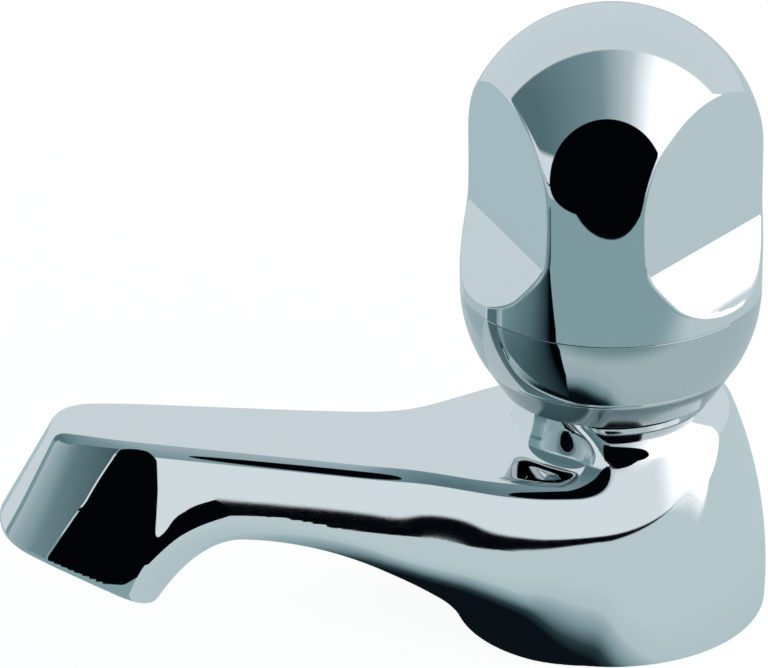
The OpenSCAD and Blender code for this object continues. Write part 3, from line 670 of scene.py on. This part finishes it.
COLUMNS = 480
turn_by = np.linspace(0, 2 * math.pi, COLUMNS, endpoint=False)
barrel = along([(SEAM_Z + 0.1, 56.4, 5), (56.4, 67.5, 36), (67.5, DOME_Z, 20)])
dome = np.radians(along([(1.2, 14, 10), (14, 48, 38), (48, 88.5, 22)]))
origin = np.concatenate([barrel, np.full(len(dome), DOME_Z)])
tilt = np.concatenate([np.zeros(len(barrel)), dome])
start, out, far = radial_skin(knob_distance, origin, tilt, turn_by)
outer = start + out * far[..., None]
inner_rows = np.linspace(len(origin) - 1, 0, 16).round().astype(int)
inner = (start + out * (far - KNOB_WALL)[..., None])[inner_rows]
seam_out = outer[0] * [1, 1, 0] + [0, 0, SEAM_Z + SEAM_GAP]
seam_out[:, :2] *= (KNOB_R - SEAM_IN) / KNOB_R
seam_in = inner[-1] * [1, 1, 0] + [0, 0, SEAM_Z + SEAM_GAP]
grid = np.concatenate([seam_out[None], outer, inner, seam_in[None]])
rows = len(grid)
index = np.arange(rows * COLUMNS).reshape(rows, COLUMNS)
crown, hidden = len(origin), len(origin) + 1
faces = []
for j in range(rows):
    if j == crown:
        continue
    a, b = index[j], index[(j + 1) % rows]
    faces.append(np.stack([a, np.roll(a, -1), np.roll(b, -1), b], axis=-1))
poles = [[0, 0, DOME_Z + KNOB_R], [0, 0, DOME_Z + KNOB_R - KNOB_WALL]]
points = np.concatenate([grid.reshape(-1, 3), poles])
faces = np.concatenate(faces).tolist()
top_point, inner_point = len(points) - 2, len(points) - 1
faces += [(a, b, top_point) for a, b in zip(index[crown], np.roll(index[crown], -1))]
faces += [(b, a, inner_point) for a, b in zip(index[hidden], np.roll(index[hidden], -1))]
knob = new_piece("knob_shell", points, faces)
shine(knob, knob_distance)
knob_chrome = chrome("knob_chrome", (0.88, 0.905, 0.915, 1), 0.012)
knob.data.materials.append(knob_chrome)
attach(knob, "knob")
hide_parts("handle_shell")


# Knob bowl
# The lower half of the knob, chrome plated too and fixed to the hub with three screws from below.
# A crisp edge and a chamfer lead down to its open mouth, which passes over the neck.
EDGE_Z, LOW_Z, LOW_R, RECESS_R = 43.2, 38.2, 17.2, 16.2
FLOOR_R, FLOOR_DEEP = 13, 2.4
edge_r = math.sqrt(KNOB_R ** 2 - (SEAM_Z - EDGE_Z) ** 2)
bowl_outline = [(KNOB_R - SEAM_IN, SEAM_Z - SEAM_GAP)]
for z in along([(SEAM_Z - 0.1, EDGE_Z + 0.35, 40)]):
    bowl_outline.append((math.sqrt(KNOB_R ** 2 - (SEAM_Z - z) ** 2), z))
bowl_outline += [(edge_r - 0.02, EDGE_Z + 0.14), (edge_r - 0.1, EDGE_Z - 0.1),
                 (edge_r - 0.3, EDGE_Z - 0.38), (LOW_R + 0.25, LOW_Z + 0.38), (LOW_R + 0.08, LOW_Z + 0.12),
                 (LOW_R - 0.12, LOW_Z), (RECESS_R + 0.15, LOW_Z), (RECESS_R, LOW_Z + 0.15),
                 (RECESS_R, EDGE_Z)]
for z in along([(EDGE_Z + 0.3, SEAM_Z - FLOOR_DEEP, 8)]):
    bowl_outline.append((max(RECESS_R, math.sqrt((KNOB_R - KNOB_WALL) ** 2 - (SEAM_Z - z) ** 2)), z))
bowl_outline += [(FLOOR_R, SEAM_Z - FLOOR_DEEP), (FLOOR_R, SEAM_Z - SEAM_GAP)]
bowl = lathe("knob_bowl", bowl_outline[::-1], 256)
bowl.data.set_sharp_from_angle(angle=math.radians(24))
# The bowl is chrome tinted darker than the knob's, a painted shade over all its reflections
bowl.data.materials.append(chrome("bowl_chrome_painted_shade", (0.64, 0.69, 0.70, 1), 0.03))
# The chamfer that faces down under the edge is a duller chrome, and its much darker tint is painted shade
bowl.data.materials.append(chrome("lip_chrome_painted_shade", (0.22, 0.29, 0.31, 1), 0.12))
# The chamfer's faces, found by height and by facing down, take that painted shade
for face in bowl.data.polygons:
    face.material_index = int(LOW_Z * MM < face.center.z < (EDGE_Z - 0.3) * MM and face.normal.z < -0.2)
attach(bowl, "knob")
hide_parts("handle_base")


# Inlet tail
# A turned brass tail, fixed in the foot of the casting, with a half-inch pipe thread.
# The supply pipe and the backnut screw onto it.
TAIL_R, TAIL_BORE, TAIL_LOW, TAIL_TOP = 10.4775, 6.75, -46.0, 6.5
PITCH, THREAD_DEPTH, TAIL_COLUMNS = 1.814, 1.16, 96


def thread(heights, columns):
    """How far the thread's flank lies below its crest, for rows of heights and a ring of columns."""
    around = np.linspace(0, 1, columns, endpoint=False)
    phase = np.abs((np.asarray(heights)[:, None] / PITCH - around[None, :]) % 1.0 - 0.5) * 2
    return THREAD_DEPTH * np.clip((phase - 0.12) / 0.76, 0, 1)


def brushed(name, bright, dull, metal, rough, grain=(400.0, 400.0, 4000.0), lift=0.02):
    """A worked surface: two tones in soft patches, and fine lines left by the tool that made it."""
    made, s = material(name)
    at = s.place()
    patches = s.node("ShaderNodeTexNoise", None, at, Scale=160.0, Detail=4.0)
    stretched = s.node("ShaderNodeVectorMath", {"operation": "MULTIPLY"}, at, grain)
    lines = s.node("ShaderNodeTexNoise", None, stretched, Scale=1.0, Detail=2.0)
    bump = s.node("ShaderNodeBump", None, Strength=lift, Distance=0.0005, Height=lines)
    colour = s.mix(s.step(patches, 0.3, 0.75), bright, dull)
    shell = s.node("ShaderNodeBsdfPrincipled", None, Base_Color=colour, Metallic=metal,
                   Roughness=rough + 0.12 * lines, Normal=bump)
    s.node("ShaderNodeOutputMaterial", None, shell)
    return made


brass = brushed("brass", screen(222, 190, 120), screen(186, 148, 84), 1.0, 0.2)
THREAD_ROW, LEAD_IN, FADE = 4, 1.2, 1.5
heights = along([(TAIL_LOW + LEAD_IN, TAIL_TOP - FADE, 280)])
depth = thread(heights, TAIL_COLUMNS)
fade_out = np.clip(np.minimum(heights - heights[0], heights[-1] - heights) / FADE, 0, 1)[:, None]
tail_outline = [(TAIL_BORE, TAIL_TOP - 0.3), (TAIL_BORE, TAIL_LOW + 0.4), (TAIL_BORE + 0.4, TAIL_LOW),
                (TAIL_R - 1.3, TAIL_LOW), *[(TAIL_R, z) for z in heights],
                (TAIL_R, TAIL_TOP - 0.4), (TAIL_R - 0.4, TAIL_TOP), (TAIL_BORE + 0.3, TAIL_TOP)]
tail_relief = np.zeros((len(tail_outline), TAIL_COLUMNS))
tail_relief[THREAD_ROW:THREAD_ROW + len(heights)] = -depth * fade_out
tail_relief[THREAD_ROW] = -LEAD_IN
tail = lathe("threaded_tail", tail_outline, TAIL_COLUMNS, tail_relief)
tail.data.set_sharp_from_angle(angle=math.radians(50))
tail.data.materials.append(brass)
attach(tail, "tap_body")
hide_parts("inlet_tail")


# Backnut
# A hexagonal brass nut with chamfered corners and a thread cut through it.
# It runs up the tail and draws the tap down on the deck.
NUT_AF, NUT_LOW, NUT_TOP, NUT_COLUMNS = 32.0, -22.0, -14.0, 240
CHAMFER_Z, EDGE_ROW = 1.4, 0.05
nut_turn = np.linspace(0, 2 * math.pi, NUT_COLUMNS, endpoint=False)
hexagon = NUT_AF / 2 / np.cos((nut_turn + math.pi / 6) % (math.pi / 3) - math.pi / 6)
bore_z = along([(NUT_TOP - 0.9, NUT_LOW + 0.9, 44)])
side_z = along([(NUT_LOW + EDGE_ROW, NUT_LOW + CHAMFER_Z, 6), (NUT_LOW + CHAMFER_Z, NUT_TOP - CHAMFER_Z, 2),
                (NUT_TOP - CHAMFER_Z, NUT_TOP - EDGE_ROW, 6)])
nut_outline = [(TAIL_R + 0.5, NUT_TOP), *[(TAIL_R + 0.05, z) for z in bore_z], (TAIL_R + 0.5, NUT_LOW),
               *[(0.0, z) for z in side_z]]
nut_relief = np.zeros((len(nut_outline), NUT_COLUMNS))
nut_relief[1:1 + len(bore_z)] = -thread(bore_z, NUT_COLUMNS)
corner_cut = NUT_AF / 2 - 0.5 + 1.9 * np.minimum(side_z - NUT_LOW, NUT_TOP - side_z)
nut_relief[-len(side_z):] = np.minimum(hexagon[None, :], corner_cut[:, None])
nut = lathe("hexagon_nut", nut_outline, NUT_COLUMNS, nut_relief)
nut.data.set_sharp_from_angle(angle=math.radians(16))
nut.data.materials.append(brass)
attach(nut, "tap_body")
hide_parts("backnut")


# Deck washer
# A moulded white plastic washer, clamped between the nut and the underside of the deck.
# Grip ribs all round its rim hold it still while the nut turns.
WASHER_R, WASHER_BORE, WASHER_LOW, WASHER_TOP, RIBS = 18.0, 10.9, -14.0, -12.0, 36
plastic = brushed("white_plastic", screen(236, 236, 232), screen(222, 223, 218), 0.0, 0.3,
                  (1500.0, 1500.0, 1500.0), 0.05)
edge = 0.25
rim = WASHER_R - 0.7
washer = lathe("ribbed_washer", [(WASHER_BORE, WASHER_TOP - edge), (WASHER_BORE, WASHER_LOW + edge),
                                 (WASHER_BORE + edge, WASHER_LOW), (rim - edge, WASHER_LOW),
                                 (rim, WASHER_LOW + edge), (rim, WASHER_TOP - edge),
                                 (rim - edge, WASHER_TOP), (WASHER_BORE + edge, WASHER_TOP)])
washer.data.set_sharp_from_angle(angle=math.radians(30))
RIB_WIDE, RIB_DEEP, RIB_SIDES = 0.75, 0.62, 16
rib_turn = np.linspace(0, 2 * math.pi, RIB_SIDES, endpoint=False)
rib_ring = [(RIB_WIDE * math.cos(a), RIB_DEEP * math.sin(a)) for a in rib_turn]
rib_rows = [(0.7, WASHER_LOW + 0.1), (1.0, WASHER_LOW + 0.35), (1.0, WASHER_TOP - 0.35),
            (0.7, WASHER_TOP - 0.1)]
rib_points = [(x * wide, y * wide, z) for wide, z in rib_rows for x, y in rib_ring]
rib_faces = [tuple(range(RIB_SIDES - 1, -1, -1)), tuple(range(3 * RIB_SIDES, 4 * RIB_SIDES))]
for row in range(3):
    for k in range(RIB_SIDES):
        here, beside = row * RIB_SIDES + k, row * RIB_SIDES + (k + 1) % RIB_SIDES
        rib_faces.append((here, beside, beside + RIB_SIDES, here + RIB_SIDES))
rib = new_piece("rib", rib_points, rib_faces)


def ring_of(piece, part, count, radius, material):
    """Adds count copies of part to a piece, in a ring round the z axis, by Geometry Nodes."""
    tree = bpy.data.node_groups.new("ring_of_parts", "GeometryNodeTree")
    face = tree.interface
    face.new_socket("Geometry", in_out="INPUT", socket_type="NodeSocketGeometry")
    wanted = {"Part": ("NodeSocketObject", part), "Count": ("NodeSocketInt", count),
              "Radius": ("NodeSocketFloat", radius * MM)}
    sockets = {key: face.new_socket(key, in_out="INPUT", socket_type=kind)
               for key, (kind, _) in wanted.items()}
    face.new_socket("Geometry", in_out="OUTPUT", socket_type="NodeSocketGeometry")
    made = {}
    for key, kind in (("in", "NodeGroupInput"), ("circle", "GeometryNodeMeshCircle"),
                      ("info", "GeometryNodeObjectInfo"), ("index", "GeometryNodeInputIndex"),
                      ("angle", "ShaderNodeMath"), ("share", "ShaderNodeMath"),
                      ("turn", "ShaderNodeCombineXYZ"), ("copies", "GeometryNodeInstanceOnPoints"),
                      ("real", "GeometryNodeRealizeInstances"), ("join", "GeometryNodeJoinGeometry"),
                      ("paint", "GeometryNodeSetMaterial"), ("out", "NodeGroupOutput")):
        made[key] = tree.nodes.new(kind)
    made["angle"].operation, made["share"].operation = "MULTIPLY", "DIVIDE"
    made["share"].inputs[0].default_value = 2 * math.pi
    made["paint"].inputs["Material"].default_value = material
    for a, out, b, into in (("in", "Count", "circle", "Vertices"), ("in", "Radius", "circle", "Radius"),
                            ("in", "Part", "info", "Object"), ("in", "Count", "share", 1),
                            ("index", 0, "angle", 0), ("share", 0, "angle", 1), ("angle", 0, "turn", "Z"),
                            ("circle", "Mesh", "copies", "Points"),
                            ("info", "Geometry", "copies", "Instance"),
                            ("turn", 0, "copies", "Rotation"), ("copies", 0, "real", 0),
                            ("real", 0, "join", 0), ("in", "Geometry", "join", 0),
                            ("join", 0, "paint", "Geometry"), ("paint", 0, "out", 0)):
        tree.links.new(made[a].outputs[out], made[b].inputs[into])
    m = piece.modifiers.new("ring", "NODES")
    m.node_group = tree
    for key, (_, value) in wanted.items():
        m[sockets[key].identifier] = value
    bpy.context.view_layer.update()
    mesh = bpy.data.meshes.new_from_object(piece.evaluated_get(bpy.context.evaluated_depsgraph_get()))
    piece.modifiers.clear()
    piece.data = mesh
    bpy.data.objects.remove(part)


ring_of(washer, rib, RIBS, WASHER_R - 0.75, plastic)
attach(washer, "tap_body")
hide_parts("deck_washer")


# Inside parts
# What the photograph hides keeps the solids' shapes, each in the finish that such a part has:
# turned brass, rubber seals, fibre washers, moulded plastic and stainless steel.
rubber = brushed("rubber", screen(38, 38, 40), screen(24, 24, 26), 0.0, 0.55, (2500.0, 2500.0, 2500.0), 0.2)
fibre = brushed("fibre", screen(160, 62, 44), screen(118, 40, 30), 0.0, 0.75, (3000.0, 3000.0, 3000.0), 0.4)
stainless = brushed("stainless", screen(206, 208, 210), screen(180, 183, 186), 1.0, 0.22)
finishes = {
    brass: ("headwork_body", "spindle", "jumper", "washer_nut"),
    rubber: ("base_gasket", "tap_washer", "spindle_o_ring_lower", "spindle_o_ring_upper", "outlet_seal"),
    fibre: ("tail_seal", "headwork_washer"),
    plastic: ("handle_hub", "outlet_insert"),
    stainless: ("valve_seat", "spindle_circlip", "shell_spring_ring", "skirt_screws", "handle_screw",
                "screw_washer"),
}
for finish, names in finishes.items():
    for name in names:
        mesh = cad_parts[name].data
        mesh.materials.clear()
        mesh.materials.append(finish)
